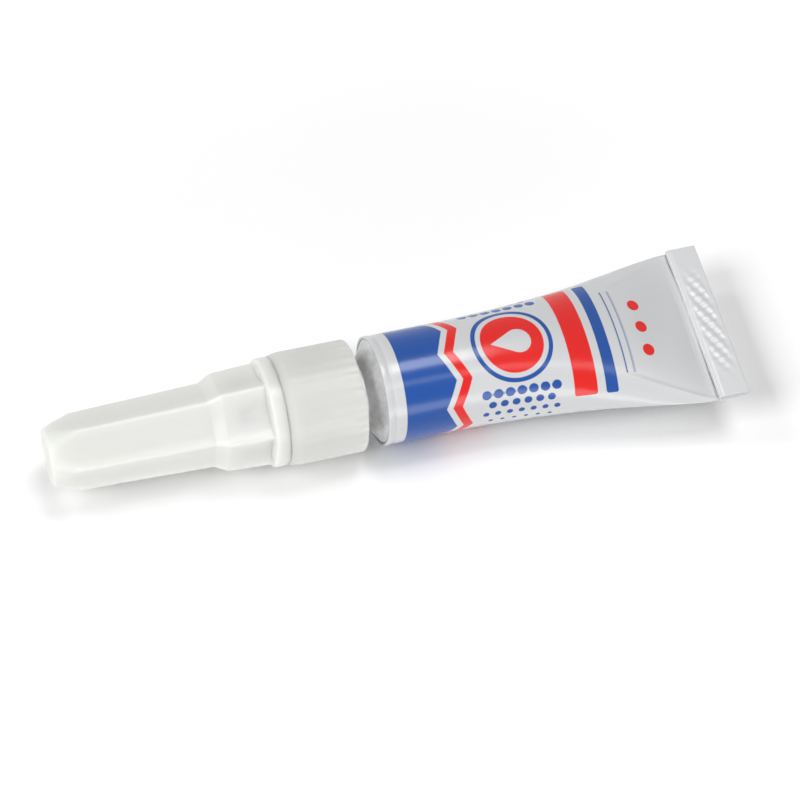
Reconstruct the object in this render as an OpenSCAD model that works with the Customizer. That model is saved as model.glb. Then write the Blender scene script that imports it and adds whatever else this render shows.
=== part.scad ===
// Super glue tube with a screw-on nozzle and a fluted screw cap, lying on its side.
// The axis runs along X: the cap points to -X and the folded tail to +X. The fold lies flat, along Y.
// Stations are measured along the axis from the front face of the barrel's rim, positive towards the tail.

/* [Tube] */
// Outer diameter of the round barrel
tube_d = 13.5; // [11:0.5:16]
// Thickness of the metal wall
tube_wall = 0.2; // [0.15:0.01:0.25]
// Straight length of the barrel behind the rim
barrel_l = 5; // [3:0.5:10]
// Length from the rim to the root of the tail fold
body_l = 42; // [32:1:60]
// Radius of the rounded edge of the rim
rim_round = 0.4; // [0.2:0.05:0.6]
// Width of the shoulder, from the barrel's outside in to the neck under its thread
shoulder_w = 2.85; // [2.5:0.05:3.2]
// Slope of the cone shoulder, in degrees from the rim's plane
shoulder_slope = 35; // [20:1:40]
// Thickness of the shoulder, along the axis
shoulder_t = 0.6; // [0.4:0.05:0.8]

/* [Tail] */
// Half thickness of the body where it meets the crease in front of the fold
tail_half_t = 1.3; // [0.9:0.1:1.6]
// How late the body goes flat: 1 is a straight wedge, higher is later
tail_lateness = 2.5; // [1.6:0.1:3]
// Length of the crease between body and fold
crease_l = 0.7; // [0.4:0.1:1.2]
// Length of the folded strip
fold_l = 3.9; // [3:0.1:6]
// Gap between the folded layers
fold_slit = 0.06; // [0.04:0.01:0.1]
// Thickness of the latex band between the two walls
sealant_t = 0.06; // [0.04:0.01:0.08]
// Length of the latex band
sealant_l = 2.6; // [2:0.1:2.9]

/* [Neck] */
// Wall of the neck under its thread
neck_wall = 0.9; // [0.7:0.05:1.1]
// Length of the neck in front of the rim's plane
neck_l = 8; // [7:0.1:9]
// Height of the neck's thread
neck_thread_h = 0.6; // [0.4:0.05:0.65]
// Pitch of the neck's thread
neck_pitch = 1.5; // [1.4:0.05:1.8]
// Thickness of the foil over the mouth
foil_t = 0.08; // [0.05:0.01:0.12]

/* [Adhesive] */
// Height of the adhesive's level above the axis
gel_level = 0.9; // [-2:0.1:4]

/* [Nozzle] */
// Wall of the threaded sleeve inside the skirt
sleeve_wall = 0.75; // [0.6:0.05:0.9]
// Open gap between sleeve and skirt
core_gap = 0.8; // [0.6:0.05:1]
// Wall of the skirt, down to the grooves between its ribs
skirt_wall = 0.65; // [0.5:0.05:0.9]
// Height of the skirt's ribs
rib_h = 0.15; // [0.1:0.01:0.25]
// Number of ribs round the skirt
rib_count = 36; // [24:1:44]
// Length of the skirt
skirt_l = 9.6; // [9.2:0.1:12]
// Gap between skirt and rim while the nozzle isn't screwed right down
nozzle_gap = 2.6; // [2.5:0.1:3]
// Radius of the skirt's rounded front edge
skirt_round = 0.9; // [0.5:0.1:1.1]
// Chamfer on the skirt's back edge
skirt_edge = 0.3; // [0.1:0.05:0.4]
// Length of the boss
boss_l = 5; // [4.6:0.1:6]
// Diameter of the spout where it leaves the boss
spout_base_d = 5; // [4:0.1:5.2]
// Diameter of the spout's straight tip
spout_tip_d = 2.5; // [2.2:0.1:2.8]
// Length of the spout's straight tip
spout_tip_l = 4; // [3:0.5:6]
// Length of the spout from the boss to its end
spout_l = 19.3; // [17:0.1:20]
// Diameter of the channel through the nozzle
channel_d = 2; // [1.4:0.1:2]
// Diameter of the outlet hole
outlet_d = 1; // [0.8:0.05:1.2]
// Length of the piercing spike
spike_l = 2.1; // [1.5:0.1:2.2]
// Room between the spike's root and the neck's hole
spike_room = 1; // [0.6:0.1:1.2]
// Wall of the spike at its tip
spike_tip_wall = 0.2; // [0.15:0.05:0.3]

/* [Cap] */
// Overall length of the cap
cap_l = 28; // [27.6:0.1:32]
// How far the collar ring stays inside the skirt
collar_inset = 0.3; // [0.2:0.05:0.5]
// Length of the collar ring
collar_l = 1.7; // [1.2:0.1:2]
// How far the large stage's ridges stay inside the collar ring
large_inset = 0.45; // [0.3:0.05:0.6]
// How much the large stage narrows from the collar to the step, on its radius
large_taper = 0.25; // [0.1:0.05:0.4]
// Length of the large stage
large_l = 5.4; // [4.5:0.1:6]
// Height of the sloping step between the two stages
step_h = 0.85; // [0.6:0.05:1]
// Length of the step
step_l = 1.6; // [1:0.1:2]
// How much the small stage narrows from the step to the nose, on its radius
small_taper = 0.48; // [0.3:0.02:0.6]
// How much the chamfered nose narrows to the end face, on its radius
nose_taper = 1.15; // [0.8:0.05:1.3]
// Length of the nose
nose_l = 3.5; // [2.5:0.1:4]
// Radius of the rounded edges of the end face and the collar ring
cap_edge = 0.4; // [0.2:0.05:0.5]
// Thinnest wall of the cap, at the bottom of a flute over the thread
cap_wall = 0.5; // [0.4:0.05:0.6]
// Number of hollow flutes round the cap
flute_count = 6; // [6:1:8]
// Radius of a flute's hollow
flute_r = 9; // [8:0.5:14]
// Half of the narrow land that stands between two flutes, in degrees
flute_land = 2; // [1:0.5:3]
// How far the cap is screwed round from a flute facing straight to the side, in degrees
cap_clock = 6; // [0:1:59]
// Height of the cap's thread
cap_thread_h = 0.5; // [0.4:0.05:0.55]
// Pitch of the cap's thread
cap_pitch = 2; // [1.8:0.1:2.2]
// Diameter of the steel pin
pin_d = 0.86; // [0.7:0.01:0.9]
// Length of the steel pin inside the cap's end
pin_hold = 2.2; // [1.5:0.1:2.4]
// Length of the pin inside the outlet hole
pin_reach = 3; // [2:0.1:3.5]
// Chamfer on the pin's tip
pin_tip = 0.28; // [0.1:0.02:0.3]

/* [Fits] */
// Clearance round every thread
thread_clear = 0.1; // [0.08:0.01:0.12]
// Clearance between cap and nozzle where they meet end to end
seat_clear = 0.1; // [0.05:0.01:0.2]
// Clearance between cap and spout
spout_clear = 0.4; // [0.35:0.05:0.45]
// Running clearance round the pin
pin_clear = 0.02; // [0.01:0.01:0.05]
// Clearance round the latex band, the foil and the adhesive
film_clear = 0.02; // [0.01:0.005:0.03]
// Room left between spike and foil while the nozzle isn't screwed right down
spike_clear = 0.4; // [0.2:0.05:0.6]

/* [Hidden] */
$fn = 96;

// Facets round a flattened section, sections along the flattened body, and how its girth is kept
section_fn = 48;
section_steps = 16;
girth_power = 1.7;
// Facets in one turn of a thread, the turns that it fades over, and how far its root is sunk in the wall
thread_fn = 24;
thread_fade = 0.25;
thread_sink = 0.2;
// Width of a thread's root and crest, and its distance from the edge where it starts, in pitches
thread_root = 0.5;
thread_crest = 0.22;
thread_start = 0.6;
// A ridge lies this many pitches from the one that it runs against
thread_step = 0.5;
// Half width of a rib's foot and top, in rib pitches
rib_foot = 0.36;
rib_top = 0.2;
// How deep the spike's root is sunk in the socket's floor
spike_sink = 0.5;
// Facets of the fold's bends, and steps of a rounded edge on the cap
fold_fn = 32;
edge_steps = 4;
// A cut runs past the face that it opens by this much
past = 1;
// Facets across a flute, how far its arc runs on past the ridges, and the length of its end at the collar
flute_fn = 10;
flute_past = 4;
flute_run_out = 0.4;
// A faceted wall stays this far inside the round wall that it grows out of, along this length
facet_inset = 0.006;
facet_lap = 0.3;

tube_r = tube_d / 2;
tube_in_r = tube_r - tube_wall;
rim_r = tube_r - rim_round;
neck_r = tube_r - shoulder_w;
neck_bore_r = neck_r - neck_wall;
neck_thread_r = neck_r + neck_thread_h;
shoulder_l = (rim_r - neck_r) * tan(shoulder_slope);
layer_t = 2 * tube_wall;
fold_t = 3 * layer_t + 2 * fold_slit;
flat_half_w = PI * tube_r / 2;
crease_x = body_l - crease_l;
tail_x = body_l + fold_l;
// The two walls leave this slot for the latex band
slot_t = sealant_t + 2 * film_clear;
slot_l = sealant_l + 2 * film_clear;
slot_half_w = flat_half_w - tube_wall;

sleeve_in_r = neck_thread_r + thread_clear;
sleeve_out_r = sleeve_in_r + sleeve_wall;
core_out_r = sleeve_out_r + core_gap;
groove_r = core_out_r + skirt_wall;
skirt_r = groove_r + rib_h;
rib_angle = 360 / rib_count;
skirt_low = skirt_r * cos((0.5 - rib_top) * rib_angle);
skirt_back_x = -nozzle_gap;
skirt_front_x = skirt_back_x - skirt_l;
// The sleeve stops short of the skirt's edge by the shoulder's rise under it
sleeve_back_x = skirt_back_x - shoulder_l + thread_clear;
foil_x = -neck_l - film_clear - foil_t;
spike_tip_x = foil_x - spike_clear;
socket_x = spike_tip_x - spike_l;
spike_r = neck_bore_r - spike_room;
outlet_r = outlet_d / 2;
boss_x = skirt_front_x - boss_l;
spout_x = boss_x - spout_l;
neck_thread_x = -neck_l + thread_start * neck_pitch;
sleeve_thread_x = neck_thread_x - (1 + thread_step) * neck_pitch;

cap_mouth_x = skirt_front_x - seat_clear;
cap_end_x = cap_mouth_x - cap_l;
collar_x = cap_mouth_x - collar_l;
large_x = collar_x - large_l;
step_x = large_x - step_l;
nose_x = cap_end_x + nose_l;
cap_hollow_x = spout_x - spout_clear;
ridge_half_angle = 180 / flute_count - flute_land;
collar_r = skirt_r - collar_inset;
large_back_r = collar_r - large_inset;
large_front_r = large_back_r - large_taper;
small_r = large_front_r - step_h;
nose_r = small_r - small_taper;
cap_end_r = nose_r - nose_taper;
cap_bore_r = flute_bottom(large_front_r) - cap_wall;
boss_thread_r = cap_bore_r - thread_clear;
boss_r = boss_thread_r - cap_thread_h;
boss_thread_x = boss_x + thread_start * cap_pitch;
cap_thread_x = boss_thread_x + thread_step * cap_pitch;

// The part lies with its widest piece on the ground and its middle over the origin
axis_z = max(skirt_low, tube_r, collar_r);
middle_x = (cap_end_x + tail_x) / 2;

// Puts what is built along the stations at its place in the part's frame
module placed() {
    translate([-middle_x, 0, axis_z]) children();
}

// Lays a shape that was built along Z down along the axis, with its stations kept
module along_axis() {
    rotate([0, 90, 0]) children();
}

// Solid of revolution from points of radius and station
module turned(points) {
    along_axis() rotate_extrude() polygon(points);
}

// Points of an arc round a centre in radius and station
function arc(centre, r, from, to, steps = 8) =
    [for (i = [0 : steps]) let (a = from + (to - from) * i / steps) centre + r * [cos(a), sin(a)]];

// Half width of a flattened section that keeps the round tube's girth, to about one part in a hundred
function half_width(r, half_t) = r + (PI / 2 - 1) * r * (1 - pow(half_t / r, girth_power));

// Half thickness of the body at a station: round up to the end of the barrel, then flatter and flatter
function half_thickness(x) =
    let (u = max(0, x - barrel_l) / (crease_x - barrel_l))
    tail_half_t + (tube_r - tail_half_t) * (1 - pow(u, tail_lateness));

// One ring of points: an ellipse at a station, with a flat facet underneath
function ring(x, half_w, half_t) =
    [
        for (i = [0 : section_fn - 1])
            let (a = 360 * (i + 0.5) / section_fn)
            [x, half_w * cos(a), half_t * sin(a)]
    ];

// Turns that a thread has between two stations, in whole quarters
function thread_turns(from_x, to_x, pitch) = floor(4 * ((to_x - from_x) / pitch - thread_root / 2)) / 4;

// Closed solid through a list of rings
module lofted(rings) {
    n = len(rings[0]);
    last = len(rings) - 1;
    points = [for (r = rings) each r];
    sides = [
        for (j = [0 : last - 1])
            for (i = [0 : n - 1])
                let (a = j * n + i, b = j * n + (i + 1) % n)
                each [[a, a + n, b], [b, a + n, b + n]]
    ];
    front = [for (i = [0 : n - 1]) i];
    back = [for (i = [n - 1 : -1 : 0]) last * n + i];
    polyhedron(points, concat([front], sides, [back]));
}

// Stations of the flattening body, from its lap in the barrel to the crease
function body_stations() =
    [for (i = [0 : section_steps]) barrel_l + (crease_x - barrel_l) * i / section_steps];

// The body's flattening length, moved in from its outer face by inset, ending at half thickness end_t
module flattening(inset, end_t, end_x) {
    first = [ring(barrel_l - facet_lap, tube_r - inset - facet_inset, tube_r - inset - facet_inset)];
    middle = [
        for (x = body_stations())
            let (half_t = half_thickness(x), lap = x == barrel_l ? facet_inset : 0)
            ring(x, half_width(tube_r, half_t) - inset - lap, half_t - inset - lap)
    ];
    root = [ring(body_l, flat_half_w - inset - end_t, end_t)];
    end = [ring(end_x, flat_half_w - inset - end_t, end_t)];
    lofted(concat(first, middle, root, end));
}

// Helical ridge along Z on a round wall. It stands out by its height, or in where that is negative.
// Its root is sunk in the wall, and at both ends its crest sinks in too.
module thread_ridge(wall_r, height, pitch, turns) {
    side = sign(height);
    sunk_r = wall_r - side * thread_sink;
    end_r = wall_r - side * thread_sink / 2;
    root_half = side * pitch * thread_root / 2;
    crest_half = side * pitch * thread_crest / 2;
    steps = round(turns * thread_fn);
    fade_steps = thread_fade * thread_fn;
    points = [
        for (i = [0 : steps])
            let (
                a = 360 * i / thread_fn,
                z = pitch * i / thread_fn,
                from_end = min(i, steps - i),
                r = from_end == 0 ? end_r : wall_r + height * min(1, from_end / fade_steps),
                out = [cos(a), sin(a)]
            )
            each [
                [sunk_r * out.x, sunk_r * out.y, z - root_half],
                [r * out.x, r * out.y, z - crest_half],
                [r * out.x, r * out.y, z + crest_half],
                [sunk_r * out.x, sunk_r * out.y, z + root_half]
            ]
    ];
    sides = [
        for (i = [0 : steps - 1])
            for (k = [0 : 3])
                let (a = 4 * i + k, b = 4 * i + (k + 1) % 4)
                each [[a, b, b + 4], [a, b + 4, a + 4]]
    ];
    polyhedron(points, concat([[3, 2, 1, 0]], sides, [[for (k = [0 : 3]) 4 * steps + k]]));
}

// Neck, shoulder and straight barrel as one solid
module shoulder_solid() {
    rim = arc([rim_r, rim_round], rim_round, -90, 0);
    turned(concat(
        [[0, -neck_l], [neck_r, -neck_l], [neck_r, -shoulder_l]],
        rim,
        [[tube_r, barrel_l], [0, barrel_l]]
    ));
    neck_turns = thread_turns(neck_thread_x, -shoulder_l, neck_pitch);
    along_axis()
        translate([0, 0, neck_thread_x])
        thread_ridge(neck_r, neck_thread_h, neck_pitch, neck_turns);
}

// Hollow of the neck, the shoulder and the straight barrel
module shoulder_hollow() {
    slope = tan(shoulder_slope);
    turned([
        [0, -neck_l - past],
        [neck_bore_r, -neck_l - past],
        [neck_bore_r, shoulder_t - (rim_r - neck_bore_r) * slope],
        [tube_in_r, shoulder_t + (tube_in_r - rim_r) * slope],
        [tube_in_r, barrel_l],
        [0, barrel_l]
    ]);
}

// Side view of the fold: the flat end goes out, back over itself and out again, with its raw edge inside
module fold_profile() {
    round_r = layer_t / 2 + fold_slit / 2;
    slit_end = fold_l - 2 * layer_t;
    top = fold_t - layer_t / 2;
    difference() {
        union() {
            translate([0, -layer_t / 2]) square([fold_l - round_r, layer_t]);
            translate([0, layer_t / 2]) square([fold_l - round_r, fold_slit + layer_t / 2]);
            translate([round_r, -layer_t / 2]) square([fold_l - 2 * round_r, fold_t]);
            translate([round_r, top - layer_t - fold_slit / 2])
                circle(r = layer_t + fold_slit / 2, $fn = fold_fn);
            translate([fold_l - round_r, layer_t / 2]) square([round_r, fold_t - 2 * layer_t]);
            translate([fold_l - round_r, 0]) circle(r = layer_t / 2, $fn = fold_fn);
            translate([fold_l - round_r, top - layer_t / 2]) circle(r = layer_t / 2, $fn = fold_fn);
        }
        translate([-past, layer_t / 2]) square([past + slit_end, fold_slit]);
        translate([layer_t, 1.5 * layer_t + fold_slit]) square([slit_end - layer_t, fold_slit]);
        translate([slit_end - fold_slit, layer_t / 2]) square([fold_slit, layer_t + 2 * fold_slit]);
    }
}

module fold_solid() {
    translate([body_l, flat_half_w, 0])
        rotate([90, 0, 0])
        linear_extrude(2 * flat_half_w)
        fold_profile();
}

module tube_body() {
    root_t = tube_wall - film_clear;
    color([0.87, 0.87, 0.86])
        placed()
        difference() {
            union() {
                shoulder_solid();
                flattening(0, root_t, body_l + facet_lap);
                fold_solid();
            }
            shoulder_hollow();
            flattening(tube_wall, sealant_t / 2, body_l + facet_lap);
            translate([body_l, -slot_half_w, -slot_t / 2])
                cube([slot_l, 2 * slot_half_w, slot_t]);
        }
}

module tail_sealant() {
    half_w = slot_half_w - film_clear;
    color([0.78, 0.7, 0.5])
        placed()
        translate([body_l + film_clear, -half_w, -sealant_t / 2])
        cube([sealant_l, 2 * half_w, sealant_t]);
}

module neck_seal() {
    color([0.75, 0.76, 0.78])
        placed()
        along_axis()
        translate([0, 0, foil_x])
        cylinder(h = foil_t, r = neck_r - film_clear);
}

// The adhesive fills the body up to a level, from behind the shoulder to where the walls close in
module adhesive_gel() {
    inset = tube_wall + film_clear;
    front_x = shoulder_t + film_clear;
    front_r = tube_r - inset;
    stations = [for (x = body_stations()) if (half_thickness(x) > tail_half_t + inset) x];
    color([0.9, 0.9, 0.88, 0.6])
        placed()
        intersection() {
            lofted(concat(
                [ring(front_x + tan(shoulder_slope) * (tube_in_r - rim_r), front_r, front_r)],
                [
                    for (x = stations)
                        ring(x, half_width(tube_r, half_thickness(x)) - inset, half_thickness(x) - inset)
                ]
            ));
            translate([0, -flat_half_w, -tube_d])
                cube([body_l, 2 * flat_half_w, tube_d + gel_level]);
        }
}

// Outline of the ribbed skirt: ribs with sloping sides, left high because their tops are turned round
// afterwards. A groove lies underneath, so that the part rests on two ribs.
module skirt_outline() {
    high_r = skirt_r + rib_h;
    polygon([
        for (i = [0 : rib_count - 1])
            for (p = [[-rib_foot, groove_r], [-rib_top, high_r], [rib_top, high_r], [rib_foot, groove_r]])
                let (a = (i + 0.5 + p[0]) * rib_angle)
                p[1] * [cos(a), sin(a)]
    ]);
}

// Skirt with its ribs and its rounded front edge
module skirt_solid() {
    intersection() {
        along_axis() translate([0, 0, skirt_front_x]) linear_extrude(skirt_l) skirt_outline();
        turned(concat(
            [[0, skirt_front_x]],
            arc([skirt_r - skirt_round, skirt_front_x + skirt_round], skirt_round, -90, 0),
            [[skirt_r, skirt_back_x - skirt_edge], [skirt_r - skirt_edge, skirt_back_x], [0, skirt_back_x]]
        ));
    }
}

// Boss for the cap's thread, with the tapered spout
module spout_solid() {
    spout_base_r = spout_base_d / 2;
    spout_tip_r = spout_tip_d / 2;
    turned([
        [0, spout_x],
        [spout_tip_r, spout_x],
        [spout_tip_r, spout_x + spout_tip_l],
        [spout_base_r, boss_x],
        [boss_r, boss_x],
        [boss_r, skirt_front_x + past],
        [0, skirt_front_x + past]
    ]);
    boss_turns = thread_turns(boss_thread_x, skirt_front_x, cap_pitch);
    along_axis()
        translate([0, 0, boss_thread_x])
        thread_ridge(boss_r, cap_thread_h, cap_pitch, boss_turns);
}

// Socket for the neck, open at the back, with the sleeve standing inside it
module socket_hollow() {
    turned([
        [0, socket_x],
        [sleeve_in_r, socket_x],
        [sleeve_in_r, sleeve_back_x],
        [sleeve_out_r, sleeve_back_x],
        [sleeve_out_r, socket_x],
        [core_out_r, socket_x],
        [core_out_r, skirt_back_x + past],
        [0, skirt_back_x + past]
    ]);
}

// Hollow spike on the socket's floor
module spike_solid() {
    along_axis()
        translate([0, 0, socket_x - spike_sink])
        cylinder(h = spike_sink, r = spike_r);
    along_axis()
        translate([0, 0, socket_x])
        cylinder(h = spike_l, r1 = spike_r, r2 = outlet_r + spike_tip_wall);
}

// Channel from the spike to the outlet, narrower at both ends
module channel_hollow() {
    channel_r = channel_d / 2;
    turned([
        [0, spout_x - past],
        [outlet_r, spout_x - past],
        [outlet_r, spout_x + spout_tip_l],
        [channel_r, boss_x],
        [channel_r, socket_x - spike_sink],
        [outlet_r, socket_x],
        [outlet_r, spike_tip_x + past],
        [0, spike_tip_x + past]
    ]);
}

module nozzle() {
    sleeve_turns = thread_turns(sleeve_thread_x, sleeve_back_x, neck_pitch);
    color([0.84, 0.85, 0.82])
        placed() {
            difference() {
                union() {
                    difference() {
                        union() {
                            skirt_solid();
                            spout_solid();
                        }
                        socket_hollow();
                    }
                    spike_solid();
                }
                channel_hollow();
            }
            along_axis()
                translate([0, 0, sleeve_thread_x])
                thread_ridge(sleeve_in_r, -neck_thread_h, neck_pitch, sleeve_turns);
        }
}

// Distance from the axis to the centre of a flute's hollow that leaves its ridges at this radius
function flute_centre(ridge_r) =
    ridge_r * cos(ridge_half_angle) + sqrt(pow(flute_r, 2) - pow(ridge_r * sin(ridge_half_angle), 2));

// Radius to the bottom of a flute whose ridges are at this radius
function flute_bottom(ridge_r) = flute_centre(ridge_r) - flute_r;

// Section of a flute's cutter at a station: the arc that leaves its ridges at ridge_r, closed further out
function flute_section(x, ridge_r, lift = 0) =
    let (
        centre = flute_centre(ridge_r),
        spread = asin(ridge_r * sin(ridge_half_angle) / flute_r) + flute_past,
        side = flute_r * sin(spread),
        out = centre - flute_r * cos(spread) + past
    )
    concat(
        [
            for (i = [0 : flute_fn])
                let (t = spread * (1 - 2 * i / flute_fn))
                [x, centre + lift - flute_r * cos(t), flute_r * sin(t)]
        ],
        [[x, out + lift, -side], [x, out + lift, side]]
    );

// One flute, from beyond the nose along the small stage, up the step and along the large stage to the collar
module flute() {
    front_x = cap_end_x - past;
    front_r = nose_r - (small_r - nose_r) * (nose_x - front_x) / (step_x - nose_x);
    run_out_lift = collar_r - flute_bottom(large_back_r) + flute_run_out;
    lofted([
        flute_section(front_x, front_r),
        flute_section(step_x, small_r),
        flute_section(large_x, large_front_r),
        flute_section(collar_x, large_back_r),
        flute_section(collar_x + flute_run_out, large_back_r, run_out_lift)
    ]);
}

// Cap body with its first few flutes cut, one after the other
module fluted(count) {
    if (count == 0) {
        cap_solid();
    } else {
        difference() {
            fluted(count - 1);
            rotate([360 * count / flute_count - cap_clock, 0, 0]) flute();
        }
    }
}

// Outside of the cap before its flutes are cut
module cap_solid() {
    turned(concat(
        [[0, cap_end_x]],
        arc([cap_end_r - cap_edge, cap_end_x + cap_edge], cap_edge, -90, 0, edge_steps),
        [
            [nose_r, nose_x],
            [small_r, step_x],
            [large_front_r, large_x],
            [large_back_r, collar_x]
        ],
        arc([collar_r - cap_edge, collar_x + cap_edge], cap_edge, -90, 0, edge_steps),
        arc([collar_r - cap_edge, cap_mouth_x - cap_edge], cap_edge, 0, 90, edge_steps),
        [[0, cap_mouth_x]]
    ));
}

// Hollow of the cap: a round bore for the thread, then a taper that follows the spout
module cap_hollow() {
    tip_r = spout_tip_d / 2 + spout_clear;
    base_r = spout_base_d / 2 + spout_clear;
    turned([
        [0, cap_hollow_x],
        [tip_r, cap_hollow_x],
        [tip_r, spout_x + spout_tip_l - spout_clear],
        [base_r, boss_x - spout_clear],
        [cap_bore_r, boss_x - spout_clear],
        [cap_bore_r, cap_mouth_x + past],
        [0, cap_mouth_x + past]
    ]);
    along_axis()
        translate([0, 0, cap_hollow_x - pin_hold - pin_clear])
        cylinder(h = pin_hold + past, d = pin_d + 2 * pin_clear);
}

module cap() {
    cap_turns = thread_turns(cap_thread_x, cap_mouth_x, cap_pitch);
    color([0.93, 0.93, 0.91])
        placed() {
            difference() {
                fluted(flute_count);
                cap_hollow();
            }
            along_axis()
                translate([0, 0, cap_thread_x])
                thread_ridge(cap_bore_r, -cap_thread_h, cap_pitch, cap_turns);
        }
}

module cap_pin() {
    pin_r = pin_d / 2;
    front_x = cap_hollow_x - pin_hold;
    back_x = spout_x + pin_reach;
    color([0.7, 0.71, 0.73])
        placed()
        turned([
            [0, front_x],
            [pin_r, front_x],
            [pin_r, back_x - pin_tip],
            [pin_r - pin_tip, back_x],
            [0, back_x]
        ]);
}

tube_body();
tail_sealant();
neck_seal();
adhesive_gel();
nozzle();
cap();
cap_pin();
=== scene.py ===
import bpy
import numpy as np
from mathutils import Matrix, Vector


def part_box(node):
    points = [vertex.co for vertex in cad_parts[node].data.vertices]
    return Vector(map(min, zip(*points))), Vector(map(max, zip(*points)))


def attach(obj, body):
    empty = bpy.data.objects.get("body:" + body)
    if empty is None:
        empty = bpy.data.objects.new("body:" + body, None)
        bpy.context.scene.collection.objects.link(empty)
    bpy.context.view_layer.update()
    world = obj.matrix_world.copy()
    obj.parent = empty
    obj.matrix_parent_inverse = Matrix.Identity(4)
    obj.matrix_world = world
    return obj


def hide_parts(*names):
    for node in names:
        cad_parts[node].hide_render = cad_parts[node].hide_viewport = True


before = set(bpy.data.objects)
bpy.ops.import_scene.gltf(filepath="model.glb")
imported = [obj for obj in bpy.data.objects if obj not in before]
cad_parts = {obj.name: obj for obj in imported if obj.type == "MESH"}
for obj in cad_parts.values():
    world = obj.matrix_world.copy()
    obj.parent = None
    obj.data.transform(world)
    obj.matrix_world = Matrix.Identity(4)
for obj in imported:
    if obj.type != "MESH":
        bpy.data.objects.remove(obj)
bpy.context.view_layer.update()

# Sizes in millimetres. Stations run along the axis from the barrel's rim, positive towards the tail.
MM = 0.001
TUBE_R, BARREL_L, BODY_L = 6.75, 5.0, 42.0
RIM_ROUND, RIM_LIP, SHOULDER_L, SHOULDER_T, BORE_SHOWN = 0.4, 0.1, 1.7155, 0.6, 3.0
TAIL_HALF_T, TAIL_LATENESS, CREASE_L = 0.55, 2.5, 0.9
FOLD_L, FOLD_SLIT, LAYER_HALF, FOLD_EDGE = 3.9, 0.12, 0.17, 0.55
NECK_R, NECK_BORE_R, NECK_L, NECK_THREAD_H, NECK_PITCH, NECK_TURNS = 3.9, 3.0, 8.0, 0.6, 1.5, 3.25
TAIL_X = BODY_L + FOLD_L
CREASE_X = BODY_L - CREASE_L
FLAT_HALF_W = np.pi * TUBE_R / 2
GIRTH_HALF = np.pi * TUBE_R

SKIRT_R, RIB_COUNT, RIB_H_FRONT, RIB_H_BACK = 6.95, 36, 0.05, 0.15
SKIRT_BACK, SKIRT_FRONT, SKIRT_TAPER, SKIRT_EDGE = -2.6, -12.2, 1.1, 0.3
CORE_R, SLEEVE_OUT_R, SLEEVE_IN_R, SLEEVE_BACK, SOCKET_X = 6.15, 5.35, 4.6, -4.2155, -10.6
SPIKE_R, SPIKE_TIP_R, SPIKE_TIP_X = 2.0, 0.7, -8.5
BOSS_X, BOSS_R, CAP_THREAD_H, CAP_PITCH = -17.2, 3.709, 0.5, 2.0
SPOUT_X, SPOUT_TIP_R, SPOUT_TIP_L, SPOUT_BASE_R = -36.5, 1.25, 4.0, 2.5
OUTLET_R, CHANNEL_R = 0.5, 1.0

CAP_END_X, NOSE_X, STEP_X, LARGE_X, COLLAR_X, MOUTH_X = -40.3, -36.8, -21.0, -19.4, -14.0, -12.203
CAP_END_R, NOSE_R, SMALL_R, LARGE_FRONT_R, LARGE_BACK_R, COLLAR_R = 3.47, 4.62, 5.1, 5.95, 6.2, 6.65
FLUTE_COUNT, FLUTE_R, FLUTE_LAND, CAP_CLOCK = 6, 9.0, np.radians(2), np.radians(6)
RIDGE_SOFT, COLLAR_SLOPE, EDGE_BREAK = 0.22, 0.4, 0.012
CAP_BORE_R, CAP_HOLLOW_X, SPOUT_CLEAR, PIN_HOLE_R, PIN_HOLD = 4.309, -36.9, 0.4, 0.45, 2.22

# Longest step along a straight run without detail, and the largest share of a run that one fillet takes up
PLAIN_STEP, FILLET_SHARE = 1.2, 0.48

# Where a thread starts, its half widths at the crest and at the wall, and its fade, all in pitches
THREAD_START, THREAD_CREST, THREAD_FOOT, THREAD_FADE = 0.6, 0.11, 0.215, 0.25
BOSS_TURNS, SLEEVE_TURNS, CAP_TURNS = 1.5, 3, 1

# How far the nozzle's inner thread and the cap's are out of step with their mates, in pitches
SLEEVE_SHIFT, CAP_SHIFT = -1.5, 0.5

# The frame gives the axis's height and the station of the part's origin
nozzle_low, nozzle_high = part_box("nozzle")
AXIS_Z = (nozzle_low.z + nozzle_high.z) / 2 / MM
RIM_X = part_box("tube_body")[1].x / MM - TAIL_X


def angles(count):
    """Angles of a ring's columns, evenly spaced round the axis from +Y towards +Z, as one row."""
    return 2 * np.pi * np.arange(count)[None, :] / count


def place(x, y, z):
    """Grid of points in the part's frame, in metres, from stations and offsets from the axis in mm."""
    x, y, z = np.broadcast_arrays(x, y, z)
    return np.stack([x + RIM_X, y, z + AXIS_Z], -1) * MM


def smoothstep(low, high, value):
    """0 below low, 1 above high, and the cubic 3t^2 - 2t^3 between them."""
    t = np.clip((value - low) / (high - low), 0, 1)
    return t * t * (3 - 2 * t)


def soft_min(a, b, width):
    """The smaller of two fields, blended by a parabola where they are within width of each other."""
    h = np.clip(0.5 + 0.5 * (b - a) / width, 0, 1)
    return b + (a - b) * h - width * h * (1 - h)


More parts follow.
